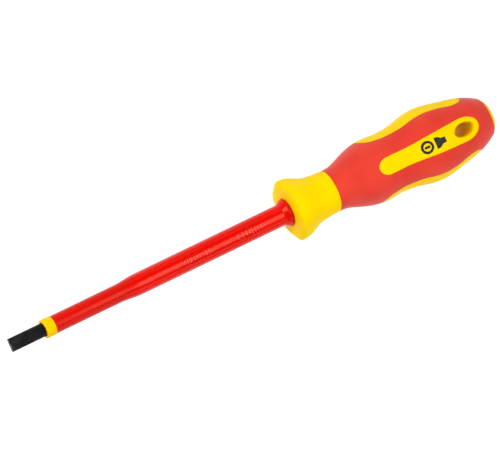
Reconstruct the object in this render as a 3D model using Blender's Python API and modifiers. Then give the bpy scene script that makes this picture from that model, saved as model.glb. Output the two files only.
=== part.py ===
"""Insulated slotted screwdriver, 6.5 mm blade, modelled as the separate pieces it is made of.

The tool lies along X, its tip at -X. A station is a distance along the tool from the blade's tip, so every
piece hangs on one empty at the tip, where local X is the station and the tool's axis is Y = Z = 0.
"""

import math

import bmesh
import bpy

# Driving dimensions, in metres
TOTAL_LENGTH = 0.260
BLADE_LENGTH = 0.150  # from the tip to the guard's front face
ROD_RADIUS = 0.00325
TIP_THICKNESS = 0.0012
GROUND_LENGTH = 0.0205  # of the tip, where it tapers from the round rod to its flat edge
GROUND_CURVE = 1.6  # 1 is a straight wedge, and more is a hollow one
TANG_END = 0.222
WING_STATIONS = (0.190, 0.206)  # where each pair of forged tang wings starts
WING_LENGTH = 0.010
WING_REACH = 0.0050
WING_THICKNESS = 0.0026

RING_FRONT = 0.0179
RING_REAR = 0.0229
RING_RADIUS = 0.00454
RING_FRONT_EDGE = 0.0006
RING_REAR_EDGE = 0.0002
THIN_SLEEVE_RADIUS = 0.00430
THICK_SLEEVE_RADIUS = 0.00513
STEP_FRONT = 0.0575  # the sleeve widens between these two stations
STEP_REAR = 0.0693
FLARE_FRONT = 0.1458  # the sleeve flares between these two stations
FLARE_REAR = 0.1490
FLARE_RADIUS = 0.00665
FLARE_EDGE = 0.0002
FLARE_SEAT_DEPTH = 0.0005  # of the shallow seat in the guard's face that the flare sits in
SLEEVE_END = 0.1707
OUTER_LAYER = 0.00035

GUARD_EDGE_LENGTH = 0.0017  # of the rounding between the guard's face and its sides, along the tool
GUARD_EDGE_REACH = 0.0036  # and across the face
NECK_RADIUS = 0.01022
NECK_END = 0.1728  # where the soft grip starts

CORE_OVERLAP = 0.0080  # of the core inside the guard's piece
GRIP_FRONT = 0.1731
GRIP_WALL = 0.0020
GRIP_END = 0.2574
FACE_RECESS = 0.0003  # of the window pads above and below, under the grip's surface
SIDE_RECESS = 0.0  # of the window pads at the sides
CORE_SHOULDER = 0.2565  # where the core has narrowed to the rear cap
CAP_RADIUS = 0.0080
CAP_SIDE = 0.2587  # where the rear cap's side turns over into its dome
CAP_EDGE = 0.0004

TANG_CORE_RADIUS = 0.0062
TANG_CORE_FRONT = 0.1713
TANG_CORE_REAR = 0.2277

HOLE_STATION = 0.2406
HOLE_LENGTH = 0.0110
HOLE_WIDTH = 0.0062

GAP = 0.0003  # between touching pieces
RUNNING_GAP = 0.0001  # between coaxial layers

TURNED_STEPS = 48
SLEEVE_STEPS = 36
ARC_STEPS = 6
WINDOW_END_STEPS = 12
GROUND_STEPS = 12
GUARD_STEPS = 12
CORNER_STEPS = 7
CUTTER_REACH = 0.030  # past the handle on either side

# The grip's outline, as (station, radius): front edge, swell, waist, palm bulge and the fall to the rear
GRIP_OUTLINE = (
    (GRIP_FRONT, 0.01018),
    (0.1773, 0.01045),
    (0.1813, 0.01165),
    (0.1853, 0.01315),
    (0.1900, 0.01460),
    (0.1965, 0.01550),
    (0.2053, 0.01500),
    (0.2145, 0.01590),
    (0.2205, 0.01725),
    (0.2268, 0.01785),
    (0.2314, 0.01740),
    (0.2391, 0.01580),
    (0.2468, 0.01415),
    (0.2530, 0.01180),
    (GRIP_END, 0.00935),
)
PALM_RADIUS = 0.01785
AXIS_HEIGHT = PALM_RADIUS - FACE_RECESS  # of the tool's axis when it lies level on its lower window pad

# The hexagonal guard, as (station, radius to its corners, how round it is: 1 is a circle)
GUARD_OUTLINE = (
    (BLADE_LENGTH + GUARD_EDGE_LENGTH, 0.01492, 0.60),
    (0.1550, 0.01453, 0.63),
    (0.1587, 0.01303, 0.72),
    (0.1626, 0.01138, 0.86),
    (0.1670, 0.01066, 0.97),
    (NECK_END, NECK_RADIUS, 0.97),
)

# A window's outline is a round front end, side points as (station, half width), and a round rear end.
# An end is (station where it meets the sides, its length, half width, how blunt it is: 2 is an ellipse).
FACE_WINDOW = {
    "front": (0.1996, 0.0052, 0.00420, 2.0),
    "sides": ((0.2110, 0.00420), (0.2240, 0.00510)),
    "rear": (0.2400, 0.0087, 0.00580, 2.0),
}
SIDE_WINDOW = {
    "front": (0.2000, 0.0061, 0.00805, 2.3),
    "sides": ((0.2080, 0.00828), (0.2180, 0.00938), (0.2280, 0.00998)),
    "rear": (0.2370, 0.0116, 0.00935, 3.0),
}


def clear_scene():
    for obj in list(bpy.data.objects):
        bpy.data.objects.remove(obj, do_unlink=True)


def new_collection(name):
    collection = bpy.data.collections.new(name)
    bpy.context.scene.collection.children.link(collection)
    return collection


def new_material(name, colour, roughness, metallic=0.0):
    material = bpy.data.materials.new(name)
    material.use_nodes = True
    shader = material.node_tree.nodes["Principled BSDF"]
    shader.inputs["Base Color"].default_value = (*colour, 1.0)
    shader.inputs["Roughness"].default_value = roughness
    shader.inputs["Metallic"].default_value = metallic
    return material


def slopes(points):
    """The slope of a smooth curve at each of these points, from the points on either side of it."""
    runs = [(b[1] - a[1]) / (b[0] - a[0]) for a, b in zip(points, points[1:])]
    inner = []
    for (x0, _), (x1, _), (x2, _), before, after in zip(points, points[1:], points[2:], runs, runs[1:]):
        inner.append((before * (x2 - x1) + after * (x1 - x0)) / (x2 - x0))
    return [runs[0], *inner, runs[-1]]


def on_curve(points, station):
    """The height at a station of the smooth curve through these (station, height) points."""
    tangents = slopes(points)
    for (x0, y0), (x1, y1), m0, m1 in zip(points, points[1:], tangents, tangents[1:]):
        if station <= x1 or (x1, y1) == points[-1]:
            run = x1 - x0
            t = (station - x0) / run
            rise = y0 * (2 * t**3 - 3 * t**2 + 1) + y1 * (3 * t**2 - 2 * t**3)
            return rise + run * (m0 * (t**3 - 2 * t**2 + t) + m1 * (t**3 - t**2))


def between(start, end, count):
    """Evenly spaced values from start to end, both included."""
    return [start + (end - start) * i / (count - 1) for i in range(count)]


def arc(centre, radii, start, end, steps):
    """Points on an elliptical arc, its angles in degrees."""
    angles = [math.radians(angle) for angle in between(start, end, steps + 1)]
    return [(centre[0] + radii[0] * math.cos(a), centre[1] + radii[1] * math.sin(a)) for a in angles]


def blunt_arc(centre, radii, bluntness, start, end, steps):
    """Points on an arc whose end is an ellipse at a bluntness of 2 and squarer above that."""
    points = []
    for x, y in arc((0.0, 0.0), (1.0, 1.0), start, end, steps):
        out, across = (math.copysign(abs(share) ** (2 / bluntness), share) for share in (x, y))
        points.append((centre[0] + radii[0] * out, centre[1] + radii[1] * across))
    return points


def blended(start, end):
    """Points of a smooth S from one (station, radius) point to another."""
    points = []
    for share in between(0.0, 1.0, ARC_STEPS):
        ease = share * share * (3 - 2 * share)
        points.append((start[0] + share * (end[0] - start[0]), start[1] + ease * (end[1] - start[1])))
    return points


def place(obj, collection, parent, material=None):
    collection.objects.link(obj)
    obj.parent = parent
    if material:
        obj.data.materials.append(material)
    return obj


def turned(name, outline, closed, steps=TURNED_STEPS):
    """A solid of revolution about the tool's axis from (station, radius) points.

    The outline runs along the outer side from the rear to the front. A closed outline makes a tube and comes
    back along its bore. An open one starts and ends on the axis.
    """
    mesh = bpy.data.meshes.new(name)
    points = [(radius, 0.0, station) for station, radius in outline]
    edges = [(i, i + 1) for i in range(len(points) - 1)]
    if closed:
        edges.append((len(points) - 1, 0))
    mesh.from_pydata(points, edges, [])
    obj = bpy.data.objects.new(name, mesh)
    obj.rotation_euler = (0.0, math.pi / 2, 0.0)
    screw = obj.modifiers.new("turn", "SCREW")
    screw.axis = "Z"
    screw.steps = steps
    screw.render_steps = steps
    screw.use_merge_vertices = True
    screw.merge_threshold = 0.000001
    screw.use_smooth_shade = True
    return obj


def prism(name, outline, depth, along):
    """A flat outline in (station, offset), extruded by depth, centred on the axis, along Z or along Y."""
    curve = bpy.data.curves.new(name, "CURVE")
    curve.dimensions = "2D"
    curve.fill_mode = "BOTH"
    curve.extrude = depth / 2
    spline = curve.splines.new("POLY")
    spline.points.add(len(outline) - 1)
    for point, (station, offset) in zip(spline.points, outline):
        point.co = (station, offset, 0.0, 1.0)
    spline.use_cyclic_u = True
    guide = bpy.data.objects.new(name + "_guide", curve)
    bpy.context.scene.collection.objects.link(guide)
    bpy.context.view_layer.update()
    mesh = bpy.data.meshes.new_from_object(guide.evaluated_get(bpy.context.evaluated_depsgraph_get()))
    bpy.data.objects.remove(guide, do_unlink=True)
    shape = bmesh.new()
    shape.from_mesh(mesh)
    bmesh.ops.remove_doubles(shape, verts=shape.verts, dist=0.000001)
    bmesh.ops.recalc_face_normals(shape, faces=shape.faces)
    shape.to_mesh(mesh)
    shape.free()
    obj = bpy.data.objects.new(name, mesh)
    if along == "Y":
        obj.rotation_euler = (math.pi / 2, 0.0, 0.0)
    return obj


def boolean(obj, operation, other):
    modifier = obj.modifiers.new(other.name, "BOOLEAN")
    modifier.operation = operation
    modifier.object = other
    modifier.solver = "EXACT"


def as_cutter(obj, collection, parent):
    place(obj, collection, parent)
    obj.hide_render = True
    obj.display_type = "WIRE"
    return obj


def window_outline(window, grow):
    """The closed outline of a window, grown outwards by a margin."""
    front, front_length, front_width, front_bluntness = window["front"]
    rear, rear_length, rear_width, rear_bluntness = window["rear"]
    sides = [(front, front_width), *window["sides"], (rear, rear_width)]
    stations = between(front, rear, 3 * len(sides))[1:-1]
    edge = [(station, on_curve(sides, station) + grow) for station in stations]
    nose_size = (front_length + grow, front_width + grow)
    tail_size = (rear_length + grow, rear_width + grow)
    nose = blunt_arc((front, 0.0), nose_size, front_bluntness, 90, 270, WINDOW_END_STEPS)
    tail = blunt_arc((rear, 0.0), tail_size, rear_bluntness, -90, 90, WINDOW_END_STEPS)
    near_edge = [(station, -width) for station, width in edge]
    return nose + near_edge + tail + edge[::-1]


def wing_outline(start, grow):
    """One pair of tang wings seen from above: full width in the middle, tapering into the rod."""
    end = start + WING_LENGTH
    taper = WING_LENGTH / 4
    root = ROD_RADIUS / 2
    upper = [
        (start - grow, root),
        (start + taper - grow, WING_REACH + grow),
        (end - taper + grow, WING_REACH + grow),
        (end + grow, root),
    ]
    return upper + [(station, -reach) for station, reach in upper[::-1]]


def make_blade(cutters, root):
    """The rod with its ground tip and forged tang wings."""
    edge = 0.0004
    outline = [
        (TANG_END, 0.0),
        (TANG_END, ROD_RADIUS - edge),
        (TANG_END - edge, ROD_RADIUS),
        (0.0, ROD_RADIUS),
        (0.0, 0.0),
    ]
    blade = turned("blade", outline, closed=False)
    for number, start in enumerate(WING_STATIONS):
        shape = prism(f"wing_{number}", wing_outline(start, 0.0), WING_THICKNESS, "Z")
        boolean(blade, "UNION", as_cutter(shape, cutters, root))
    for side, name in ((1, "grinding_upper"), (-1, "grinding_lower")):
        face = []
        for station in between(0.0, GROUND_LENGTH, GROUND_STEPS):
            rise = (station / GROUND_LENGTH) ** GROUND_CURVE
            half = TIP_THICKNESS / 2 + rise * (ROD_RADIUS - TIP_THICKNESS / 2)
            face.append((station, side * half))
        clear = 2 * ROD_RADIUS * side
        before, after = -ROD_RADIUS, GROUND_LENGTH + ROD_RADIUS
        outline = [(before, clear), (before, face[0][1]), *face, (after, clear)]
        shape = prism(name, outline, 4 * ROD_RADIUS, "Y")
        boolean(blade, "DIFFERENCE", as_cutter(shape, cutters, root))
    return blade


def make_inner_sleeve():
    """The yellow inner layer of the insulation, with the collar that shows as a ring near the tip."""
    bore = ROD_RADIUS + RUNNING_GAP
    thin = THIN_SLEEVE_RADIUS - OUTER_LAYER - RUNNING_GAP
    thick = thin + THICK_SLEEVE_RADIUS - THIN_SLEEVE_RADIUS
    edge = RING_FRONT_EDGE
    front_edge = arc((RING_FRONT + edge, RING_RADIUS - edge), (edge, edge), 90, 180, ARC_STEPS // 2)
    outline = [
        (SLEEVE_END, thick),
        (STEP_REAR, thick),
        (STEP_FRONT, thin),
        (RING_REAR, thin),
        (RING_REAR, RING_RADIUS - RING_REAR_EDGE),
        (RING_REAR - RING_REAR_EDGE, RING_RADIUS),
        *front_edge,
        (RING_FRONT, bore),
        (SLEEVE_END, bore),
    ]
    return turned("inner_insulation_sleeve", outline, closed=True, steps=SLEEVE_STEPS)


def make_outer_sleeve():
    """The red outer layer: a thin run behind the ring, a thick run, a flare and a tail inside the guard."""
    step = blended((STEP_FRONT, THIN_SLEEVE_RADIUS), (STEP_REAR, THICK_SLEEVE_RADIUS))
    flare = blended((FLARE_FRONT, THICK_SLEEVE_RADIUS), (FLARE_REAR, FLARE_RADIUS))
    end = BLADE_LENGTH + FLARE_SEAT_DEPTH - GAP
    front = RING_REAR + RUNNING_GAP
    outline = [
        (SLEEVE_END, THICK_SLEEVE_RADIUS),
        (end, THICK_SLEEVE_RADIUS),
        (end, FLARE_RADIUS - FLARE_EDGE),
        (end - FLARE_EDGE, FLARE_RADIUS),
        *flare[::-1],
        *step[::-1],
        (front, THIN_SLEEVE_RADIUS),
        (front, THIN_SLEEVE_RADIUS - OUTER_LAYER),
        (STEP_FRONT, THIN_SLEEVE_RADIUS - OUTER_LAYER),
        (STEP_REAR, THICK_SLEEVE_RADIUS - OUTER_LAYER),
        (SLEEVE_END, THICK_SLEEVE_RADIUS - OUTER_LAYER),
    ]
    return turned("outer_insulation_sleeve", outline, closed=True, steps=SLEEVE_STEPS)


def make_tang_core(cutters, root):
    """The core moulded round the tang, which the handle body is then moulded over."""
    bore = ROD_RADIUS + GAP
    outline = [
        (TANG_CORE_REAR, 0.0),
        (TANG_CORE_REAR, TANG_CORE_RADIUS),
        (TANG_CORE_FRONT, TANG_CORE_RADIUS),
        (TANG_CORE_FRONT, bore),
        (TANG_END + GAP, bore),
        (TANG_END + GAP, 0.0),
    ]
    core = turned("tang_core", outline, closed=False)
    for number, start in enumerate(WING_STATIONS):
        shape = prism(f"wing_seat_{number}", wing_outline(start, GAP), WING_THICKNESS + 2 * GAP, "Z")
        boolean(core, "DIFFERENCE", as_cutter(shape, cutters, root))
    return core


def guard_sections():
    """(station, corner radius, roundness) from the guard's front face to the round neck."""
    radii = [(station, radius) for station, radius, _ in GUARD_OUTLINE]
    roundness = [(station, share) for station, _, share in GUARD_OUTLINE]
    edge = BLADE_LENGTH + GUARD_EDGE_LENGTH
    sections = []
    size = (GUARD_EDGE_LENGTH, GUARD_EDGE_REACH)
    for station, inset in arc((edge, GUARD_EDGE_REACH), size, 180, 270, ARC_STEPS):
        sections.append((station, radii[0][1] - inset, roundness[0][1]))
    for station in between(edge, NECK_END, GUARD_STEPS)[1:]:
        sections.append((station, on_curve(radii, station), on_curve(roundness, station)))
    return sections


def rounded_hexagon(corner, roundness):
    """The (across, up) points of a hexagon with rounded corners and a flat on top, all on its corners."""
    rounding = corner * roundness
    to_centre = corner - rounding  # of each corner's arc
    points = []
    for middle in range(30, 360, 60):
        angle = math.radians(middle)
        centre = (to_centre * math.sin(angle), to_centre * math.cos(angle))
        points += arc(centre, (rounding, rounding), 120 - middle, 60 - middle, CORNER_STEPS)
    return points


def make_guard():
    """A loft from the hexagonal guard to the round neck, which no primitive or modifier makes."""
    shape = bmesh.new()
    rings = []
    for station, corner, roundness in guard_sections():
        points = rounded_hexagon(corner, roundness)
        rings.append([shape.verts.new((station, across, up)) for across, up in points])
    for before, after in zip(rings, rings[1:]):
        for i in range(len(before)):
            j = (i + 1) % len(before)
            shape.faces.new((before[i], after[i], after[j], before[j]))
    shape.faces.new(rings[0])
    shape.faces.new(rings[-1][::-1])
    bmesh.ops.recalc_face_normals(shape, faces=shape.faces)
    mesh = bpy.data.meshes.new("guard")
    shape.to_mesh(mesh)
    shape.free()
    return bpy.data.objects.new("guard", mesh)


def grip_radius(station):
    return on_curve(GRIP_OUTLINE, station)


def grip_stations(start, end):
    """Stations from start to end at the points that the grip's outline is drawn through."""
    return [start, *(station for station, _ in GRIP_OUTLINE if start < station < end), end]


def with_middles(stations):
    """These stations and the middle of each step between them."""
    middles = [(a + b) / 2 for a, b in zip(stations, stations[1:])]
    return sorted([*stations, *middles])


def core_radius(station):
    return max(CAP_RADIUS, grip_radius(station) - GRIP_WALL)


def core_outline():
    """The hard core under the soft grip, from its rear cap to inside the guard."""
    cap = arc((CAP_SIDE, 0.0), (TOTAL_LENGTH - CAP_SIDE, CAP_RADIUS - CAP_EDGE), 0, 90, ARC_STEPS)
    under = [(station, core_radius(station)) for station in grip_stations(GRIP_FRONT, CORE_SHOULDER)]
    inside_guard = NECK_END - CORE_OVERLAP
    front = [(inside_guard, NECK_RADIUS - GRIP_WALL), (inside_guard, 0.0)]
    return [*cap, (CAP_SIDE - CAP_EDGE, CAP_RADIUS), *under[::-1], *front]


def window_pad(name, window, recess, along, cutters, root):
    """The part of the handle body that rises through a pair of opposite windows in the grip."""
    front = window["front"][0] - window["front"][1]
    rear = window["rear"][0] + window["rear"][1]
    outer = with_middles(grip_stations(front - GAP, rear + GAP))[::-1]
    outline = [(outer[0], 0.0)]
    outline += [(station, grip_radius(station) - recess) for station in outer]
    outline += [(outer[-1], 0.0)]
    pad = as_cutter(turned(name, outline, closed=False), cutters, root)
    shape = prism(name + "_outline", window_outline(window, 0.0), 2 * CUTTER_REACH, along)
    boolean(pad, "INTERSECT", as_cutter(shape, cutters, root))
    return pad


def make_handle_body(cutters, root):
    """The hard handle: hexagonal guard, neck, core, window pads, rear cap, bore and hanging hole."""
    body = turned("handle_body", core_outline(), closed=False)
    boolean(body, "UNION", as_cutter(make_guard(), cutters, root))
    boolean(body, "UNION", window_pad("face_pads", FACE_WINDOW, FACE_RECESS, "Z", cutters, root))
    boolean(body, "UNION", window_pad("side_pads", SIDE_WINDOW, SIDE_RECESS, "Y", cutters, root))
    core_space = [
        (TANG_CORE_REAR + GAP, 0.0),
        (TANG_CORE_REAR + GAP, TANG_CORE_RADIUS + GAP),
        (TANG_CORE_FRONT - GAP, TANG_CORE_RADIUS + GAP),
        (TANG_CORE_FRONT - GAP, THICK_SLEEVE_RADIUS + GAP),
        (BLADE_LENGTH + FLARE_SEAT_DEPTH, THICK_SLEEVE_RADIUS + GAP),
        (BLADE_LENGTH + FLARE_SEAT_DEPTH, FLARE_RADIUS + GAP),
        (BLADE_LENGTH - GAP, FLARE_RADIUS + GAP),
        (BLADE_LENGTH - GAP, 0.0),
    ]
    boolean(body, "DIFFERENCE", as_cutter(turned("bore", core_space, closed=False), cutters, root))
    bpy.ops.mesh.primitive_cylinder_add(vertices=32, radius=0.5, depth=2 * CUTTER_REACH)
    hole = bpy.context.object
    hole.name = "hanging_hole"
    hole.data.transform(((HOLE_LENGTH, 0, 0, 0), (0, HOLE_WIDTH, 0, 0), (0, 0, 1, 0), (0, 0, 0, 1)))
    hole.location = (HOLE_STATION, 0.0, 0.0)
    for collection in list(hole.users_collection):
        collection.objects.unlink(hole)
    boolean(body, "DIFFERENCE", as_cutter(hole, cutters, root))
    return body


def make_grip(cutters, root):
    """The soft overmould: a shell with four windows and an open rear end."""
    outer = with_middles(grip_stations(GRIP_FRONT, GRIP_END))[::-1]
    outline = [(station, grip_radius(station)) for station in outer]
    outline += [(station, core_radius(station) + GAP) for station in grip_stations(GRIP_FRONT, CORE_SHOULDER)]
    outline.append((GRIP_END, CAP_RADIUS + GAP))
    grip = turned("grip_overmould", outline, closed=True)
    for name, window, along in (("face", FACE_WINDOW, "Z"), ("side", SIDE_WINDOW, "Y")):
        shape = prism(name + "_window", window_outline(window, GAP), 2 * CUTTER_REACH, along)
        boolean(grip, "DIFFERENCE", as_cutter(shape, cutters, root))
    return grip


def main():
    clear_scene()
    parts = new_collection("insulated_screwdriver")
    cutters = new_collection("cutters")
    root = bpy.data.objects.new("tip", None)
    root.location = (-TOTAL_LENGTH / 2, 0.0, AXIS_HEIGHT)
    parts.objects.link(root)

    black_oxide = new_material("black_oxide_steel", (0.022, 0.022, 0.023), 0.5, 1.0)
    yellow_layer = new_material("yellow_insulation", (0.95, 0.66, 0.01), 0.35)
    red_layer = new_material("red_insulation", (0.75, 0.02, 0.01), 0.18)
    core_plastic = new_material("core_plastic", (0.75, 0.70, 0.55), 0.5)
    yellow_plastic = new_material("yellow_plastic", (0.95, 0.70, 0.01), 0.4)
    red_rubber = new_material("red_soft_grip", (0.82, 0.06, 0.03), 0.65)

    place(make_blade(cutters, root), parts, root, black_oxide)
    place(make_inner_sleeve(), parts, root, yellow_layer)
    place(make_outer_sleeve(), parts, root, red_layer)
    place(make_tang_core(cutters, root), parts, root, core_plastic)
    place(make_handle_body(cutters, root), parts, root, yellow_plastic)
    place(make_grip(cutters, root), parts, root, red_rubber)


main()
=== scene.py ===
"""Looks of the insulated slotted screwdriver: surfaces, materials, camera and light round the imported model.

A station is a distance along the tool from the blade's tip, and an angle turns about the tool's axis from
straight up (the upper window) towards +Y. Lengths are in metres, and angles are in radians unless a name
says degrees.
"""

import math

import bmesh
import bpy
import numpy as np
from mathutils import Matrix, Vector
from mathutils.geometry import delaunay_2d_cdt


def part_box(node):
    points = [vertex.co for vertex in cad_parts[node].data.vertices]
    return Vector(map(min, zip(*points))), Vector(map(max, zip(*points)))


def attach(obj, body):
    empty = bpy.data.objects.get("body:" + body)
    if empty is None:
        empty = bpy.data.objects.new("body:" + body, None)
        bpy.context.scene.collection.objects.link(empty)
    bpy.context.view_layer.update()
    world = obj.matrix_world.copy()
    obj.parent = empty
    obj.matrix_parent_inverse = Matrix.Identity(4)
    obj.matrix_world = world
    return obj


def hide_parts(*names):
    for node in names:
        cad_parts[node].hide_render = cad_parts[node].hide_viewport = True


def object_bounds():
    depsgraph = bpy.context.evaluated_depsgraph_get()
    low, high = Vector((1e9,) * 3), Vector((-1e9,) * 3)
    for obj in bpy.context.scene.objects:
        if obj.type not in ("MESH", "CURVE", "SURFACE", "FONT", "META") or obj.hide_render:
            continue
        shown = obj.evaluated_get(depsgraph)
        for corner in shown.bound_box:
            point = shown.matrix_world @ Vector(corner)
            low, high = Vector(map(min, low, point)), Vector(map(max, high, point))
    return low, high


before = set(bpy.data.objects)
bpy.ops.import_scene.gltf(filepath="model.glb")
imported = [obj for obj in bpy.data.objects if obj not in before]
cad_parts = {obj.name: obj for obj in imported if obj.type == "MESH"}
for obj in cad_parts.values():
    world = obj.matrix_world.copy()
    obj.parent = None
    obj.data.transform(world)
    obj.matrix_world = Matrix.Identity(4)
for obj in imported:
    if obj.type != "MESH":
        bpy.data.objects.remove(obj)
cad_bounds = [list(corner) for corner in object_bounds()]

# Places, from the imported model
TIP_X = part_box("blade")[0].x
AXIS_Z = (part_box("blade")[0].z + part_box("blade")[1].z) / 2
ROD_RADIUS = (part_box("blade")[1].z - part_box("blade")[0].z) / 2


def span(node):
    """The first and last station of a CAD node."""
    low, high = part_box(node)
    return low.x - TIP_X, high.x - TIP_X


TANG_END = span("blade")[1]
RING_FRONT, SLEEVE_END = span("inner_insulation_sleeve")
RED_FRONT = span("outer_insulation_sleeve")[0]
GUARD_FACE, HANDLE_END = span("handle_body")
GRIP_FRONT, GRIP_END = span("grip_overmould")

# Shapes that the CAD solids have too. Some hidden ones, and the gaps between pieces, are smaller here.
TIP_THICKNESS = 0.0012
GROUND_LENGTH = 0.0205  # of the tip, where it tapers from the round rod to its flat edge
GROUND_CURVE = 1.6  # 1 is a straight wedge, and more is a hollow one
WING_STATIONS = (0.190, 0.206)  # where each pair of forged tang wings starts
WING_LENGTH = 0.010
WING_REACH = 0.0049
WING_THICKNESS = 0.0025
RING_RADIUS = 0.00454
THIN_SLEEVE_RADIUS = 0.00430
THICK_SLEEVE_RADIUS = 0.00513
STEP_FRONT = 0.0575  # the sleeve widens between these two stations
STEP_REAR = 0.0693
FLARE_FRONT = 0.1458  # and flares between these two
FLARE_REAR = 0.1490
FLARE_END = 0.1502
FLARE_RADIUS = 0.00665
OUTER_LAYER = 0.00035  # of red over the yellow layer
LAYER_GAP = 0.00010  # between coaxial layers
GUARD_EDGE_LENGTH = 0.0017  # of the rounding between the guard's face and its sides, along the tool
GUARD_EDGE_REACH = 0.0036  # and across the face
FLARE_SEAT_RADIUS = 0.00672  # of the shallow seat in the guard's face that the flare sits in
FLARE_SEAT_DEPTH = 0.0005
NECK_RADIUS = 0.01022
NECK_END = GRIP_FRONT - 0.00004
GRIP_WALL = 0.0019
GRIP_FRONT_EDGE = 0.00025  # rounding of the grip's front edge
GRIP_REAR_EDGE = 0.0006  # and of its rear mouth, along the tool
CORE_WALL = 0.0020  # from the grip's surface down to the yellow core
CORE_SHOULDER = 0.2565  # where the core has narrowed to the rear cap
CAP_RADIUS = 0.0080
CAP_SIDE = 0.2587  # where the rear cap's side turns over into its dome
CAP_EDGE = 0.0004
CAP_CLEARANCE = 0.00003  # between the cap and the grip's rear mouth
CAVITY_RADIUS = 0.0063  # of the room for the tang and the core round it
CAVITY_FRONT = 0.1710
CAVITY_REAR = 0.2280
HOLE_STATION = 0.2406
HOLE_LENGTH = 0.0110
HOLE_WIDTH = 0.0061

# The grip's outline, as (station, radius): front edge, swell, waist, palm bulge and the fall to the rear
GRIP_OUTLINE = (
    (GRIP_FRONT, 0.01018),
    (0.1773, 0.01045),
    (0.1813, 0.01165),
    (0.1853, 0.01315),
    (0.1900, 0.01460),
    (0.1965, 0.01550),
    (0.2053, 0.01500),
    (0.2145, 0.01590),
    (0.2205, 0.01725),
    (0.2268, 0.01785),
    (0.2314, 0.01740),
    (0.2391, 0.01580),
    (0.2468, 0.01415),
    (0.2530, 0.01180),
    (GRIP_END, 0.00935),
)
# The hexagonal guard, as (station, radius to its corners, how round it is: 1 is a circle)
GUARD_OUTLINE = (
    (GUARD_FACE + GUARD_EDGE_LENGTH, 0.01492, 0.60),
    (0.1550, 0.01453, 0.63),
    (0.1587, 0.01303, 0.72),
    (0.1626, 0.01138, 0.86),
    (0.1670, 0.01066, 0.97),
    (NECK_END, NECK_RADIUS, 0.97),
)

# A window: round front end, side points as (station, half width), round rear end.
# An end is (station where it meets the sides, its length, half width, how blunt it is: 2 is an ellipse).
FACE_WINDOW = {
    "front": (0.1996, 0.0052, 0.00420, 2.0),
    "sides": ((0.2110, 0.00420), (0.2240, 0.00510)),
    "rear": (0.2400, 0.0087, 0.00580, 2.0),
}
SIDE_WINDOW = {
    "front": (0.2000, 0.0061, 0.00805, 2.3),
    "sides": ((0.2080, 0.00828), (0.2180, 0.00938), (0.2280, 0.00998)),
    "rear": (0.2370, 0.0116, 0.00935, 3.0),
}
FACE_RECESS = 0.00033  # of an upper or lower pad under the grip's surface
SIDE_RECESS = 0.00004
FACE_LIP = 0.00045  # rounding of the grip's edge at a window
SIDE_LIP = 0.00025
# (angle in degrees, outline, recess, lip)
WINDOWS = (
    (0, FACE_WINDOW, FACE_RECESS, FACE_LIP),
    (90, SIDE_WINDOW, SIDE_RECESS, SIDE_LIP),
    (180, FACE_WINDOW, FACE_RECESS, FACE_LIP),
    (270, SIDE_WINDOW, SIDE_RECESS, SIDE_LIP),
)

# Raised marks on the thick sleeve: two runs of ticks, and a small ring before the second
MARK_ANGLE = math.radians(-2)  # of their middle
MARK_RELIEF = 0.00032
MARK_FOOT = 0.00008  # how far they reach into the sleeve
TICK_LENGTH = 0.00060  # along the tool
TICK_DRAFT = 0.00012  # how much its top is drawn in on each side
TICK_REACH = math.radians(28)  # of the longest tick to either side of the middle
TICK_SHARES = (1.0, 0.8, 0.8, 0.9, 0.8, 0.8)  # of that reach, one tick after the other
TICK_RUNS = ((0.0917, 10, 0.00165), (0.1252, 6, 0.00155))  # (first station, count, pitch)
RING_MARK_STATION = 0.1222
RING_MARK_RADII = (0.00099, 0.00175)
RING_MARK_DRAFT = 0.00013

# Printed symbol on the upper pad: a slotted screw head beside a flat tip
HEAD_STATION = 0.2196
HEAD_RADII = (0.0019, 0.0031)
SLOT_LENGTH = 0.0026
SLOT_WIDTH = 0.0012
# (station, half width) points of the flat tip
FLAT_TIP_OUTLINE = (
    (0.2238, 0.0027),
    (0.2254, 0.0027),
    (0.2265, 0.0020),
    (0.2273, 0.0014),
    (0.2282, 0.0014),
    (0.2293, 0.0014),
)
INK_RISE = 0.00002
INK_FOOT = 0.00003  # how far the ink reaches into the pad

# How fine the surfaces are
COLUMNS = 192  # around the handle
GRID_COLUMNS = 96
GRID_STEP = 0.0012
LOOP_CLEARANCE = 0.6 * GRID_STEP  # that the even grid keeps from a loop
LOOP_STEP = 0.0005  # along a window's edge
WINDOW_END_STEPS = 48
WINDOW_SIDE_STEPS = 60
HOLE_STEPS = 96
SEAM = math.radians(37.5)  # where the unrolled grip is cut: in the middle of a strip between two windows
UNROLL_RADIUS = 0.015  # times an angle is a distance across the unrolled grip
LIP_STEPS = 6
APRON = 0.0010  # from a window's edge to where the even grid starts
HOLE_RIM = 0.0009
HOLE_REAR_RIM = 0.0013  # the rim is rounded more at the hole's rear
HOLE_RIM_DEPTH = 2.0  # times as deep as it is wide


# ---------------------------------------------------------------- curves

def on_curve(points, station):
    """The height at a station of the smooth curve through these (station, height) points."""
    runs = [(b[1] - a[1]) / (b[0] - a[0]) for a, b in zip(points, points[1:])]
    tangents = [runs[0]]
    for (x0, _), (x1, _), (x2, _), before, after in zip(points, points[1:], points[2:], runs, runs[1:]):
        tangents.append((before * (x2 - x1) + after * (x1 - x0)) / (x2 - x0))
    tangents.append(runs[-1])
    for (x0, y0), (x1, y1), m0, m1 in zip(points, points[1:], tangents, tangents[1:]):
        if station <= x1 or (x1, y1) == points[-1]:
            run = x1 - x0
            t = (station - x0) / run
            rise = y0 * (2 * t**3 - 3 * t**2 + 1) + y1 * (3 * t**2 - 2 * t**3)
            return rise + run * (m0 * (t**3 - 2 * t**2 + t) + m1 * (t**3 - t**2))


def between(start, end, count):
    """Evenly spaced values, the start and the end among them."""
    return [start + (end - start) * i / (count - 1) for i in range(count)]


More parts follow.
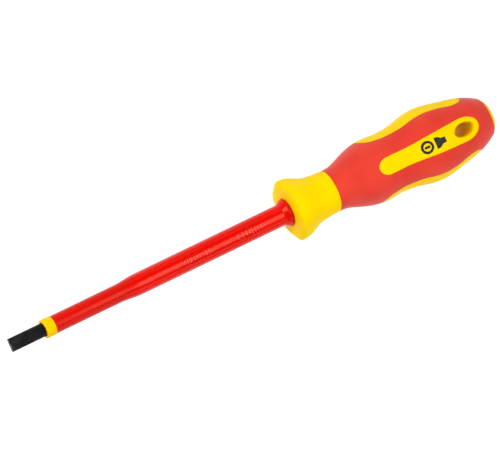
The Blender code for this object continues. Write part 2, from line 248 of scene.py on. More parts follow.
def arc(centre, radii, start, end, steps):
    """Points on an elliptical arc, its angles in degrees."""
    angles = [math.radians(angle) for angle in between(start, end, steps + 1)]
    return [(centre[0] + radii[0] * math.cos(a), centre[1] + radii[1] * math.sin(a)) for a in angles]


def blunt_arc(centre, radii, bluntness, start, end, steps):
    """Points on an arc, its angles in degrees. A bluntness of 2 is an ellipse, and more is squarer."""
    points = []
    for x, y in arc((0.0, 0.0), (1.0, 1.0), start, end, steps):
        out, across = (math.copysign(abs(share) ** (2 / bluntness), share) for share in (x, y))
        points.append((centre[0] + radii[0] * out, centre[1] + radii[1] * across))
    return points


def ease(share):
    """A smooth step from 0 to 1 as the share goes from 0 to 1."""
    share = max(0.0, min(1.0, share))
    return share * share * (3 - 2 * share)


def grip_radius(station):
    return on_curve(GRIP_OUTLINE, station)


def pad_radius(station, recess=FACE_RECESS):
    return grip_radius(station) - recess


def core_radius(station):
    return max(CAP_RADIUS, grip_radius(station) - CORE_WALL)


def grip_inner_radius(station):
    return max(CAP_RADIUS + CAP_CLEARANCE, grip_radius(station) - GRIP_WALL)


def at(station, radius, angle):
    """The point at a station, a radius from the tool's axis and an angle about it."""
    return Vector((TIP_X + station, radius * math.sin(angle), AXIS_Z + radius * math.cos(angle)))


def even_loop(points, step):
    """A closed outline's points, spread evenly along it about a step apart."""
    path = np.array([*points, points[0]])
    lengths = np.hypot(*np.diff(path, axis=0).T)
    along = np.concatenate([[0], np.cumsum(lengths)])
    count = int(round(along[-1] / step))
    places = np.arange(count) * along[-1] / count
    return np.stack([np.interp(places, along, path[:, 0]), np.interp(places, along, path[:, 1])], axis=1)


def grown(loop, margin):
    """A closed anticlockwise loop moved outwards by a margin."""
    before, after = np.roll(loop, 1, axis=0), np.roll(loop, -1, axis=0)
    along = after - before
    along /= np.hypot(along[:, 0], along[:, 1])[:, None]
    return loop + margin * np.stack([along[:, 1], -along[:, 0]], axis=1)


def inside(points, loop):
    """Which of these points lie inside a closed loop."""
    x, y = points[:, 0][:, None], points[:, 1][:, None]
    x0, y0 = loop[:, 0], loop[:, 1]
    x1, y1 = np.roll(x0, -1), np.roll(y0, -1)
    crosses = (y0 > y) != (y1 > y)
    rise = np.where(y1 == y0, 1.0, y1 - y0)
    where = x0 + (y - y0) * (x1 - x0) / rise
    return (np.sum(crosses & (x < where), axis=1) % 2).astype(bool)


# ---------------------------------------------------------------- meshes

class Shape:
    """Vertices and faces that grow ring by ring into one mesh."""

    def __init__(self):
        self.points = []
        self.faces = []

    def add(self, points):
        first = len(self.points)
        self.points += [tuple(point) for point in points]
        return list(range(first, len(self.points)))

    def bridge(self, a, b, closed=True):
        """Quads, or triangles where one side is a single point, between two rings."""
        count = max(len(a), len(b))
        for i in range(count if closed else count - 1):
            j = (i + 1) % count
            if len(a) == 1:
                self.faces.append((a[0], b[i], b[j]))
            elif len(b) == 1:
                self.faces.append((a[i], b[0], a[j]))
            else:
                self.faces.append((a[i], b[i], b[j], a[j]))

    def finish(self, name, material, replaced=(), sharp_degrees=35):
        """The finished piece, riding on the tool's one body. It replaces the CAD nodes that are named."""
        mesh = bpy.data.meshes.new(name)
        mesh.from_pydata(self.points, [], self.faces)
        soup = bmesh.new()
        soup.from_mesh(mesh)
        bmesh.ops.remove_doubles(soup, verts=soup.verts, dist=0.000001)
        bmesh.ops.recalc_face_normals(soup, faces=soup.faces)
        soup.to_mesh(mesh)
        soup.free()
        mesh.shade_smooth()
        mesh.set_sharp_from_angle(angle=math.radians(sharp_degrees))
        mesh.materials.append(material)
        piece = bpy.data.objects.new(name, mesh)
        bpy.context.scene.collection.objects.link(piece)
        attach(piece, "root")
        if replaced:
            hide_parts(*replaced)


def turned(shape, outline, closed=False, columns=COLUMNS):
    """Turns (station, radius) points about the axis. A point on the axis closes the end."""
    rings = []
    for station, radius in outline:
        if radius < 1e-9:
            rings.append(shape.add([at(station, 0.0, 0.0)]))
            continue
        angles = [SEAM + 2 * math.pi * i / columns for i in range(columns)]
        rings.append(shape.add([at(station, radius, angle) for angle in angles]))
    for a, b in zip(rings, rings[1:]):
        shape.bridge(a, b)
    if closed:
        shape.bridge(rings[-1], rings[0])
    return rings


def window_loop(window):
    """The window's outline in the flat, as (station, offset) points, anticlockwise."""
    front, front_length, front_width, front_bluntness = window["front"]
    rear, rear_length, rear_width, rear_bluntness = window["rear"]
    sides = [(front, front_width), *window["sides"], (rear, rear_width)]
    stations = between(front, rear, WINDOW_SIDE_STEPS)[1:-1]
    plus_side = [(station, on_curve(sides, station)) for station in stations]
    minus_side = [(station, -width) for station, width in plus_side]
    nose = blunt_arc((front, 0.0), (front_length, front_width), front_bluntness, 90, 270, WINDOW_END_STEPS)
    tail = blunt_arc((rear, 0.0), (rear_length, rear_width), rear_bluntness, -90, 90, WINDOW_END_STEPS)
    return even_loop(nose + minus_side + tail + plus_side[::-1], LOOP_STEP)


def on_surface(loop, radius_at):
    """A flat outline wrapped on the grip: its points as (station, distance round the surface)."""
    wrapped = []
    for station, offset in loop:
        radius = radius_at(station)
        wrapped.append((station, radius * math.asin(max(-1.0, min(1.0, offset / radius)))))
    return np.array(wrapped)


def unrolled_angle(degrees):
    """The angle of a window's middle, moved into the unrolled range that starts at the seam."""
    angle = math.radians(degrees)
    return angle if angle > SEAM else angle + 2 * math.pi


def loop_on_grip(shape, wrapped, margin, middle, radius_at, drop=0.0):
    """Adds a window's loop, grown by a margin and dropped below the surface.

    Returns its points' ids and their unrolled places.
    """
    points, places = [], []
    for station, around in grown(wrapped, margin):
        radius = grip_radius(station)
        angle = middle + around / radius
        points.append(at(station, radius_at(station) - drop, angle))
        places.append((station, angle * UNROLL_RADIUS))
    return shape.add(points), np.array(places)


def grid_places(first, last, keep_off):
    """Places of an even grid on the unrolled grip, as (station, angle), finer around its two ends.

    Places near the given loops are left out, and so are those inside a loop whose inside isn't kept.
    """
    rows = max(2, round((last - first) / GRID_STEP))
    places = []
    for row, station in enumerate(between(first, last, rows + 1)):
        columns = COLUMNS if row in (0, rows) else GRID_COLUMNS
        places += [(station, SEAM + 2 * math.pi * i / columns) for i in range(columns + 1)]
    places = np.array(places)
    unrolled = places * [1, UNROLL_RADIUS]
    keep = np.ones(len(places), bool)
    for loop, keep_inside in keep_off:
        near = np.min(np.hypot(*(unrolled[:, None, :] - loop[None, :, :]).transpose(2, 0, 1)), axis=1)
        keep &= near > LOOP_CLEARANCE
        if not keep_inside:
            keep &= ~inside(unrolled, loop)
    return places[keep]


def triangles(places, loops, dropped):
    """Triangles between unrolled places that follow the loops, without those whose middles are dropped."""
    scale = 1000.0  # to millimetres, for the triangulation's tolerance
    flat = [Vector((x * scale, y * scale)) for x, y in places]
    edges = [(loop[i], loop[(i + 1) % len(loop)]) for loop in loops for i in range(len(loop))]
    made = delaunay_2d_cdt(flat, edges, [], 0, 1e-6, True)
    source = [ids[0] for ids in made[3]]
    faces = np.array([[source[v] for v in face] for face in made[2]])
    middles = np.array(places)[faces].mean(axis=1)
    return faces[~dropped(middles)]


# ---------------------------------------------------------------- materials

class Nodes:
    """Short names for building one material's node tree."""

    def __init__(self, name):
        self.material = bpy.data.materials.new(name)
        self.material.use_nodes = True
        self.tree = self.material.node_tree
        self.shader = self.tree.nodes["Principled BSDF"]
        self.coordinates = self.tree.nodes.new("ShaderNodeTexCoord").outputs["Object"]

    def set(self, **values):
        """Sets the shader's own sockets. A _ stands for a space in a socket's name."""
        for name, value in values.items():
            self.shader.inputs[name.replace("_", " ")].default_value = value

    def link(self, source, target):
        self.tree.links.new(source, target)

    def base_colour(self, colour):
        self.link(colour, self.shader.inputs["Base Color"])

    def roughness(self, value):
        self.link(value, self.shader.inputs["Roughness"])

    def noise(self, scale, detail=3.0, stretch=(1, 1, 1)):
        mapping = self.tree.nodes.new("ShaderNodeMapping")
        mapping.inputs["Scale"].default_value = stretch
        self.link(self.coordinates, mapping.inputs["Vector"])
        texture = self.tree.nodes.new("ShaderNodeTexNoise")
        texture.inputs["Scale"].default_value = scale
        texture.inputs["Detail"].default_value = detail
        self.link(mapping.outputs["Vector"], texture.inputs["Vector"])
        return texture.outputs["Fac"]

    def cells(self, scale):
        texture = self.tree.nodes.new("ShaderNodeTexVoronoi")
        texture.inputs["Scale"].default_value = scale
        self.link(self.coordinates, texture.inputs["Vector"])
        return texture.outputs["Distance"]

    def spread(self, noise, low=0.0, high=1.0):
        """A noise's middle range, stretched to run from low to high."""
        return self.ranged(noise, 0.3, 0.7, low, high)

    def ranged(self, value, low_in, high_in, low, high):
        node = self.tree.nodes.new("ShaderNodeMapRange")
        node.interpolation_type = "SMOOTHSTEP"
        sockets = ("From Min", "From Max", "To Min", "To Max")
        for socket, number in zip(sockets, (low_in, high_in, low, high)):
            node.inputs[socket].default_value = number
        self.link(value, node.inputs["Value"])
        return node.outputs["Result"]

    def math(self, operation, a, b=0.0):
        node = self.tree.nodes.new("ShaderNodeMath")
        node.operation = operation
        for socket, value in zip(node.inputs, (a, b)):
            if isinstance(value, (int, float)):
                socket.default_value = value
            else:
                self.link(value, socket)
        return node.outputs["Value"]

    def mixed(self, share, first, second):
        node = self.tree.nodes.new("ShaderNodeMix")
        node.data_type = "RGBA"
        self.link(share, node.inputs["Factor"])
        for socket, colour in ((node.inputs["A"], first), (node.inputs["B"], second)):
            if isinstance(colour, tuple):
                socket.default_value = (*colour, 1.0)
            else:
                self.link(colour, socket)
        return node.outputs["Result"]

    def bumped(self, *heights):
        """Bumps the surface by (height, strength, depth in metres) entries, one on top of the other."""
        normal = None
        for height, strength, depth in heights:
            node = self.tree.nodes.new("ShaderNodeBump")
            node.inputs["Strength"].default_value = strength
            node.inputs["Distance"].default_value = depth
            self.link(height, node.inputs["Height"])
            if normal:
                self.link(normal, node.inputs["Normal"])
            normal = node.outputs["Normal"]
        self.link(normal, self.shader.inputs["Normal"])

    def axes(self):
        node = self.tree.nodes.new("ShaderNodeSeparateXYZ")
        self.link(self.coordinates, node.inputs["Vector"])
        return node.outputs["X"], node.outputs["Y"], node.outputs["Z"]


def black_oxide():
    """Matt black oxide with fine marks along the ground flats, worn to steel at the working edge."""
    n = Nodes("black_oxide")
    along, across, _ = n.axes()
    grinding = n.noise(900, 4, (0.12, 1, 1))
    clouds = n.ranged(n.noise(160, 3), 0.35, 0.65, 0, 1)
    dark = n.mixed(clouds, (0.012, 0.012, 0.0125), (0.020, 0.020, 0.0207))
    steel = (0.20, 0.195, 0.19)
    from_tip = n.math("SUBTRACT", along, TIP_X)
    wear_reach = n.ranged(n.noise(1400, 3), 0.35, 0.7, 0.00005, 0.00045)
    worn_tip = n.ranged(n.math("SUBTRACT", from_tip, wear_reach), -0.00015, 0.00010, 0.7, 0)
    sideways = n.math("ABSOLUTE", across)
    near_side = n.ranged(sideways, ROD_RADIUS - 0.00022, ROD_RADIUS - 0.00006, 0, 0.35)
    worn_sides = n.math("MULTIPLY", near_side, n.ranged(from_tip, 0.0, 0.008, 1, 0))
    n.base_colour(n.mixed(n.math("MAXIMUM", worn_tip, worn_sides), dark, steel))
    n.roughness(n.spread(grinding, 0.42, 0.56))
    n.set(Metallic=1.0)
    n.bumped((grinding, 0.25, 0.00003), (n.noise(5000, 2), 0.15, 0.00001))
    return n.material


def red_insulation(name, specular):
    """Glossy moulded red with the slight waviness of a shot sleeve, rubbed to satin on its thin run, whose
    red is also darker as painted shade.
    """
    n = Nodes(name)
    along, _, _ = n.axes()
    step = (TIP_X + STEP_FRONT, TIP_X + STEP_REAR)
    clouds = n.spread(n.noise(120, 2, (0.3, 1, 1)))
    # the thin run's darker red is painted shade, for light that falls off towards the tip
    thin_run_painted_shade_red = n.mixed(clouds, (0.59, 0.0016, 0.0002), (0.64, 0.0024, 0.0004))
    glossy_red = n.mixed(clouds, (0.69, 0.0022, 0.0003), (0.75, 0.0032, 0.0006))
    n.base_colour(n.mixed(n.ranged(along, *step, 0, 1), thin_run_painted_shade_red, glossy_red))
    rubbed = n.ranged(along, *step, 0.30, 0.17)
    n.roughness(n.math("ADD", rubbed, n.spread(n.noise(700, 3), 0, 0.05)))
    n.set(Specular_IOR_Level=specular, Specular_Tint=(1.0, 0.75, 0.50, 1.0))
    n.bumped((n.noise(90, 2, (0.35, 1, 1)), 0.10, 0.00006), (n.noise(1600, 2), 0.04, 0.00001))
    return n.material


def yellow_insulation():
    """Satin moulded yellow, with a fine grain."""
    n = Nodes("yellow_insulation")
    n.base_colour(n.mixed(n.spread(n.noise(300, 2)), (0.93, 0.53, 0.0005), (0.97, 0.57, 0.001)))
    n.roughness(n.spread(n.noise(900, 3), 0.28, 0.38))
    n.set(Specular_IOR_Level=0.05, Specular_Tint=(1.0, 0.75, 0.05, 1.0))
    n.bumped((n.noise(2200, 2), 0.08, 0.00002))
    return n.material


def yellow_plastic():
    """Hard satin yellow: spark-eroded mould grain and faint flow clouds."""
    n = Nodes("yellow_plastic")
    n.base_colour(n.mixed(n.spread(n.noise(90, 3)), (0.98, 0.63, 0.0003), (0.99, 0.66, 0.0006)))
    n.roughness(n.spread(n.noise(1500, 3), 0.36, 0.46))
    n.set(Specular_IOR_Level=0.03, Specular_Tint=(1.0, 0.75, 0.05, 1.0))
    n.set(Subsurface_Weight=0.3, Subsurface_Scale=0.002, Subsurface_Radius=(1.0, 0.7, 0.1))
    n.bumped((n.noise(3000, 3), 0.10, 0.00003), (n.noise(350, 2), 0.06, 0.00005))
    return n.material


def red_soft_grip():
    """Soft-touch elastomer: fine matt grain and a velvety bloom at grazing angles."""
    n = Nodes("red_soft_grip")
    n.base_colour(n.mixed(n.spread(n.noise(70, 3)), (0.67, 0.034, 0.019), (0.74, 0.046, 0.026)))
    n.roughness(n.spread(n.noise(1800, 3), 0.52, 0.64))
    n.set(Sheen_Weight=0.25, Sheen_Roughness=0.45, Sheen_Tint=(1.0, 0.55, 0.55, 1.0))
    n.set(Specular_IOR_Level=0.3, Specular_Tint=(1.0, 0.45, 0.40, 1.0))
    n.bumped((n.cells(2600), 0.12, 0.00003), (n.noise(400, 3), 0.08, 0.00005))
    return n.material


def hidden_core():
    """Plain undyed plastic."""
    n = Nodes("hidden_core")
    n.base_colour(n.mixed(n.noise(120), (0.62, 0.55, 0.38), (0.72, 0.66, 0.50)))
    n.bumped((n.noise(1500), 0.1, 0.00003))
    return n.material


def printed_ink():
    """Matt black pad-printed ink."""
    n = Nodes("printed_ink")
    n.base_colour(n.mixed(n.spread(n.noise(900)), (0.010, 0.010, 0.009), (0.030, 0.029, 0.025)))
    n.roughness(n.spread(n.noise(1600), 0.45, 0.6))
    n.set(Specular_IOR_Level=0.15)
    n.bumped((n.noise(3500), 0.1, 0.00001))
    return n.material


# ---------------------------------------------------------------- pieces

def wing_share(station):
    """How far the tang's wings stand out at a station, from 0 to 1."""
    share = 0.0
    for start in WING_STATIONS:
        from_end = min(station - start, start + WING_LENGTH - station)
        share = max(share, ease(from_end / (WING_LENGTH / 3)))
    return share


def blade_angles(half):
    """Angles around the rod: some on each round side, the others across the two flats at this half height."""
    side_steps, flat_steps = 8, 24
    widest = math.radians(84)  # so that the flats' angles stay apart where the rod is round
    cut = min(math.asin(min(1.0, half / ROD_RADIUS)), widest)
    sides = [-cut + 2 * cut * i / side_steps for i in range(side_steps)]
    flats = [cut + (math.pi - 2 * cut) * i / flat_steps for i in range(flat_steps)]
    return sides + flats + [a + math.pi for a in sides] + [a + math.pi for a in flats]


def make_blade(material):
    """The rod: ground flats at the tip, forged wings on the tang, and the edges of both ends broken."""
    shape = Shape()
    edge_break = 0.00010
    stations = [0.0, 0.00012, *between(0.001, GROUND_LENGTH + 0.001, 36)]
    stations += [RED_FRONT, GUARD_FACE, TANG_END - 0.0004, TANG_END]
    for start in WING_STATIONS:
        stations += between(start, start + WING_LENGTH, 17)
    rings = []
    for station in sorted(stations):
        ground = min(1.0, station / GROUND_LENGTH)
        half = TIP_THICKNESS / 2 + ground**GROUND_CURVE * (ROD_RADIUS - TIP_THICKNESS / 2)
        inset = edge_break if station in (0.0, TANG_END) else 0.0
        wing = wing_share(station)
        wide = ROD_RADIUS + wing * (WING_REACH - ROD_RADIUS) - inset
        high = ROD_RADIUS + wing * (WING_THICKNESS / 2 - ROD_RADIUS) - inset
        ring = []
        for angle in blade_angles(half):
            rise = max(inset - half, min(half - inset, high * math.sin(angle)))
            ring.append((TIP_X + station, wide * math.cos(angle), AXIS_Z + rise))
        rings.append(shape.add(ring))
    for a, b in zip(rings, rings[1:]):
        shape.bridge(a, b)
    shape.bridge(shape.add([at(0.0, 0.0, 0.0)]), rings[0])
    shape.bridge(rings[-1], shape.add([at(TANG_END, 0.0, 0.0)]))
    shape.finish("blade_steel", material, ["blade"], 22)


def make_inner_sleeve(material):
    """The yellow layer, and the collar that shows as a ring."""
    bore = ROD_RADIUS + LAYER_GAP
    thin = THIN_SLEEVE_RADIUS - OUTER_LAYER - LAYER_GAP
    thick = THICK_SLEEVE_RADIUS - OUTER_LAYER - LAYER_GAP
    front_edge, rear_edge, chamfer = 0.0007, 0.00025, 0.0001
    ring_rear = RED_FRONT - LAYER_GAP
    outline = [(SLEEVE_END, thick), (STEP_REAR, thick), (STEP_FRONT, thin), (ring_rear, thin)]
    outline += arc((ring_rear - rear_edge, RING_RADIUS - rear_edge), (rear_edge, rear_edge), 0, 90, 5)
    outline += arc((RING_FRONT + front_edge, RING_RADIUS - front_edge), (front_edge, front_edge), 90, 180, 8)
    outline += [(RING_FRONT, bore + chamfer), (RING_FRONT + chamfer, bore), (SLEEVE_END, bore)]
    shape = Shape()
    turned(shape, outline, closed=True, columns=96)
    shape.finish("signal_ring_sleeve", material, ["inner_insulation_sleeve"])


def outer_sleeve_radius(station):
    """The red sleeve's radius: thin run, step, thick run and the flare at the guard."""
    step = ease((station - STEP_FRONT) / (STEP_REAR - STEP_FRONT))
    flare = ease((station - FLARE_FRONT) / (FLARE_REAR - FLARE_FRONT))
    radius = THIN_SLEEVE_RADIUS + step * (THICK_SLEEVE_RADIUS - THIN_SLEEVE_RADIUS)
    return radius + flare * (FLARE_RADIUS - THICK_SLEEVE_RADIUS)


def make_outer_sleeve(material):
    """The red layer, with its front edge and the flare's rim rounded."""
    edge, rim = 0.00025, 0.00070
    thin_inside = THIN_SLEEVE_RADIUS - OUTER_LAYER
    thick_inside = THICK_SLEEVE_RADIUS - OUTER_LAYER
    outline = [(SLEEVE_END, THICK_SLEEVE_RADIUS), (FLARE_END, THICK_SLEEVE_RADIUS)]
    outline += arc((FLARE_END - rim, FLARE_RADIUS - rim), (rim, rim), 0, 90, 6)
    outline += [(x, outer_sleeve_radius(x)) for x in between(FLARE_REAR, FLARE_FRONT, 20)]
    outline += [(x, outer_sleeve_radius(x)) for x in between(STEP_REAR, STEP_FRONT, 16)]
    outline += arc((RED_FRONT + edge, THIN_SLEEVE_RADIUS - edge), (edge, edge), 90, 180, 4)
    outline += [(RED_FRONT, thin_inside), (STEP_FRONT, thin_inside)]
    outline += [(STEP_REAR, thick_inside), (SLEEVE_END, thick_inside)]
    shape = Shape()
    turned(shape, outline, closed=True, columns=128)
    shape.finish("insulation_sleeve", material, ["outer_insulation_sleeve"])


def raised_tick(shape, station, reach):
    """A low moulded bar across the thick sleeve, with its top narrower than its foot."""
    end = station + TICK_LENGTH
    profile = [(station, -MARK_FOOT), (station, 0.0), (station + TICK_DRAFT, MARK_RELIEF)]
    profile += [(end - TICK_DRAFT, MARK_RELIEF), (end, 0.0), (end, -MARK_FOOT)]
    low, high = MARK_ANGLE - reach, MARK_ANGLE + reach
    side = TICK_DRAFT / THICK_SLEEVE_RADIUS
    places = [(low, 0.0)]
    places += [(angle, 1.0) for angle in between(low + side, high - side, 10)]
    places.append((high, 0.0))
    rings = []
    for angle, share in places:
        ring = []
        for x, rise in profile:
            ring.append(at(x, THICK_SLEEVE_RADIUS + (rise * share if rise > 0 else rise), angle))
        rings.append(shape.add(ring))
    for a, b in zip(rings, rings[1:]):
        shape.bridge(a, b)
    shape.faces.append(tuple(rings[0]))
    shape.faces.append(tuple(rings[-1][::-1]))


def make_raised_marks(material):
    """Two runs of plain moulded ticks on the thick sleeve, with a small ring before the second."""
    shape = Shape()
    for first, count, pitch in TICK_RUNS:
        for i in range(count):
            raised_tick(shape, first + i * pitch, TICK_REACH * TICK_SHARES[i % len(TICK_SHARES)])
    inner, outer = RING_MARK_RADII
    profile = [(outer, -MARK_FOOT), (outer, 0.0), (outer - RING_MARK_DRAFT, MARK_RELIEF)]
    profile += [(inner + RING_MARK_DRAFT, MARK_RELIEF), (inner, 0.0), (inner, -MARK_FOOT)]
    loops = []
    for radius, rise in profile:
        points = []
        for turn in between(0, 2 * math.pi, 49)[:-1]:
            angle = MARK_ANGLE + radius * math.sin(turn) / THICK_SLEEVE_RADIUS
            station = RING_MARK_STATION + radius * math.cos(turn)
            points.append(at(station, THICK_SLEEVE_RADIUS + rise, angle))
        loops.append(shape.add(points))
    for a, b in zip(loops, loops[1:] + loops[:1]):
        shape.bridge(a, b)
    shape.finish("sleeve_raised_marks", material)


def hexagon_radius(angle, corner, roundness):
    """The radius at an angle of a hexagon with rounded corners. A flat faces angle zero."""
    rounding = corner * roundness
    to_centre = corner - rounding
    flat = to_centre * math.cos(math.radians(30)) + rounding
    from_flat = (angle + math.radians(30)) % math.radians(60) - math.radians(30)
    if abs(flat * math.tan(from_flat)) <= to_centre / 2:
        return flat / math.cos(from_flat)
    from_corner = math.radians(30) - abs(from_flat)
    across = to_centre * math.sin(from_corner)
    return to_centre * math.cos(from_corner) + math.sqrt(rounding**2 - across**2)


def guard_rings(shape):
    """The hexagonal guard and the neck, from the bore's mouth to the grip's front edge."""
    radii = [(station, radius) for station, radius, _ in GUARD_OUTLINE]
    roundness = [(station, share) for station, _, share in GUARD_OUTLINE]
    edge = GUARD_FACE + GUARD_EDGE_LENGTH
    sections = []
    size = (GUARD_EDGE_LENGTH, GUARD_EDGE_REACH)
    for station, inset in arc((edge, GUARD_EDGE_REACH), size, 180, 270, 10):
        sections.append((station, radii[0][1] - inset, roundness[0][1]))
    for station in between(edge, NECK_END, 34)[1:]:
        sections.append((station, on_curve(radii, station), on_curve(roundness, station)))
    angles = [SEAM + 2 * math.pi * i / COLUMNS for i in range(COLUMNS)]
    rings = []
    for station, corner, share in sections:
        rings.append(shape.add([at(station, hexagon_radius(a, corner, share), a) for a in angles]))
    for a, b in zip(rings, rings[1:]):
        shape.bridge(a, b)
    return rings


def hole_loops(shape, upper):
    """The hanging hole's rounded rim on the upper or the lower pad.

    Returns the wall's ring, the outer ring and the outer ring's unrolled places.
    """
    rings = []
    for step in range(LIP_STEPS + 1):
        turn = math.radians(90) * step / LIP_STEPS
        points, places = [], []
        for i in range(HOLE_STEPS):
            angle = 2 * math.pi * i / HOLE_STEPS
            rim = HOLE_RIM + (HOLE_REAR_RIM - HOLE_RIM) * max(0.0, math.cos(angle))
            margin = rim * (1 - math.cos(turn))
            drop = HOLE_RIM_DEPTH * rim * (1 - math.sin(turn))
            station = HOLE_STATION + (HOLE_LENGTH / 2 + margin) * math.cos(angle)
            offset = (HOLE_WIDTH / 2 + margin) * math.sin(angle)
            radius = pad_radius(station)
            rise = math.sqrt(radius**2 - offset**2) - drop
            points.append((TIP_X + station, offset, AXIS_Z + (rise if upper else -rise)))
            lean = math.asin(offset / radius)
            turned_to = 2 * math.pi + lean if upper else math.pi - lean
            places.append((station, turned_to * UNROLL_RADIUS))
        rings.append(shape.add(points))
    for a, b in zip(rings, rings[1:]):
        shape.bridge(a, b)
    return rings[0], rings[-1], np.array(places)


def bore_and_cap(shape, guard):
    """The front of the handle inside the guard's rings, and the rear cap."""
    bore = THICK_SLEEVE_RADIUS + LAYER_GAP
    seat = GUARD_FACE + FLARE_SEAT_DEPTH
    chamfer = 0.00015
    mouth = [(GUARD_FACE, FLARE_SEAT_RADIUS + chamfer), (GUARD_FACE + chamfer, FLARE_SEAT_RADIUS)]
    mouth += [(seat, FLARE_SEAT_RADIUS), (seat, bore), (CAVITY_FRONT, bore)]
    cavity = [(CAVITY_FRONT, CAVITY_RADIUS), (CAVITY_REAR, CAVITY_RADIUS), (CAVITY_REAR, 0.0)]
    front = turned(shape, mouth + cavity)
    shape.bridge(guard[0], front[0])
    core_start = turned(shape, [(NECK_END, core_radius(NECK_END))])[0]
    shape.bridge(guard[-1], core_start)
    side = arc((CAP_SIDE - CAP_EDGE, CAP_RADIUS - CAP_EDGE), (CAP_EDGE, CAP_EDGE), 90, 30, 5)
    dome = arc((CAP_SIDE, 0.0), (HANDLE_END - CAP_SIDE, CAP_RADIUS - CAP_EDGE), 90, 0, 20)
    turned(shape, [(CORE_SHOULDER, core_radius(CORE_SHOULDER)), *side, *dome[1:-1], (HANDLE_END, 0.0)])


def window_steps(shape):
    """The step from the core up to each window pad.

    Returns two lists with an entry for each window: the ids and unrolled places of the outer loop, on the
    core, and those of the inner loop, on the pad, with the pad's recess.
    """
    foot_inset, rim_inset = 0.00001, 0.00003  # of the step's foot and top, inside the window's edge
    aprons, pads = [], []
    for degrees, window, recess, _ in WINDOWS:
        wrapped = on_surface(window_loop(window), grip_radius)
        middle = unrolled_angle(degrees)

        def on_pad(station, recess=recess):
            return pad_radius(station, recess)

        outer, outer_places = loop_on_grip(shape, wrapped, APRON, middle, core_radius)
        foot, _ = loop_on_grip(shape, wrapped, -foot_inset, middle, core_radius)
        rim, _ = loop_on_grip(shape, wrapped, -rim_inset, middle, on_pad)
        inner, inner_places = loop_on_grip(shape, wrapped, -APRON, middle, on_pad)
        for a, b in ((outer, foot), (foot, rim), (rim, inner)):
            shape.bridge(a, b)
        aprons.append((outer, outer_places))
        pads.append((inner, inner_places, recess))
    return aprons, pads


def hole_wall(shape, top, bottom):
    """The hanging hole's wall, from the upper pad's ring to the lower pad's."""
    walls = [top]
    for share in between(0, 1, 10)[1:-1]:
        ends = [(Vector(shape.points[a]), Vector(shape.points[b])) for a, b in zip(top, bottom)]
        walls.append(shape.add([a.lerp(b, share) for a, b in ends]))
    walls.append(bottom)
    for a, b in zip(walls, walls[1:]):
        shape.bridge(a, b)


def make_handle_body(material):
    """The hard yellow body: guard, neck, core, four window pads, rear cap, bore and hanging hole."""
    shape = Shape()
    bore_and_cap(shape, guard_rings(shape))
    aprons, pads = window_steps(shape)
    holes = [hole_loops(shape, upper) for upper in (True, False)]
    hole_wall(shape, holes[0][0], holes[1][0])

    kept_off = [(places, True) for _, places in aprons]
    kept_off += [(places, True) for _, places, _ in pads]
    kept_off += [(places, False) for _, _, places in holes]
    grid = grid_places(NECK_END, CORE_SHOULDER, kept_off)
    unrolled = grid * [1, UNROLL_RADIUS]
    on_core = -1.0
    recesses = np.full(len(grid), on_core)
    in_step = np.zeros(len(grid), bool)
    for (_, outer_places), (_, inner_places, recess) in zip(aprons, pads):
        recesses[inside(unrolled, inner_places)] = recess
        in_step |= inside(unrolled, outer_places) & ~inside(unrolled, inner_places)
    points = []
    for (x, angle), recess in zip(grid[~in_step], recesses[~in_step]):
        radius = core_radius(x) if recess == on_core else pad_radius(x, recess)
        points.append(at(x, radius, angle))
    ids = shape.add(points)
    places = list(map(tuple, unrolled[~in_step]))
    loops = []
    for loop_ids, loop_places in [*aprons, *[pad[:2] for pad in pads], *[hole[1:] for hole in holes]]:
        loops.append(list(range(len(places), len(places) + len(loop_ids))))
        ids += loop_ids
        places += list(map(tuple, loop_places))

    def dropped(middles):
        gone = np.zeros(len(middles), bool)
        for (_, outer_places), (_, inner_places, _) in zip(aprons, pads):
            gone |= inside(middles, outer_places) & ~inside(middles, inner_places)
        for _, _, hole_places in holes:
            gone |= inside(middles, hole_places)
        return gone

    for face in triangles(places, loops, dropped):
        shape.faces.append(tuple(ids[i] for i in face))
    shape.finish("handle_shell", material, ["handle_body"], 40)


def grip_ends(shape, first, last):
    """The grip's rounded front edge at the neck, and its rounded rear mouth."""
    front = [(first, grip_radius(first))]
    for turn in map(math.radians, (22, 45, 67, 90)):
        station = first - GRIP_FRONT_EDGE * math.sin(turn)
        front.append((station, grip_radius(first) - GRIP_FRONT_EDGE * (1 - math.cos(turn))))
    front += [(GRIP_FRONT, grip_inner_radius(GRIP_FRONT)), (first, grip_inner_radius(first))]
    turned(shape, front)

    shoulder = GRIP_END - 0.00025
    edge = GRIP_END - 0.00008
    end_radius = grip_radius(GRIP_END)
    rear = [(last, grip_radius(last)), (shoulder, grip_radius(shoulder)), (edge, end_radius - 0.00003)]
    rear += [(GRIP_END, end_radius - 0.00020), (GRIP_END, CAP_RADIUS + 0.00010)]
    rear += [(edge, CAP_RADIUS + CAP_CLEARANCE), (last, grip_inner_radius(last))]
    turned(shape, rear)


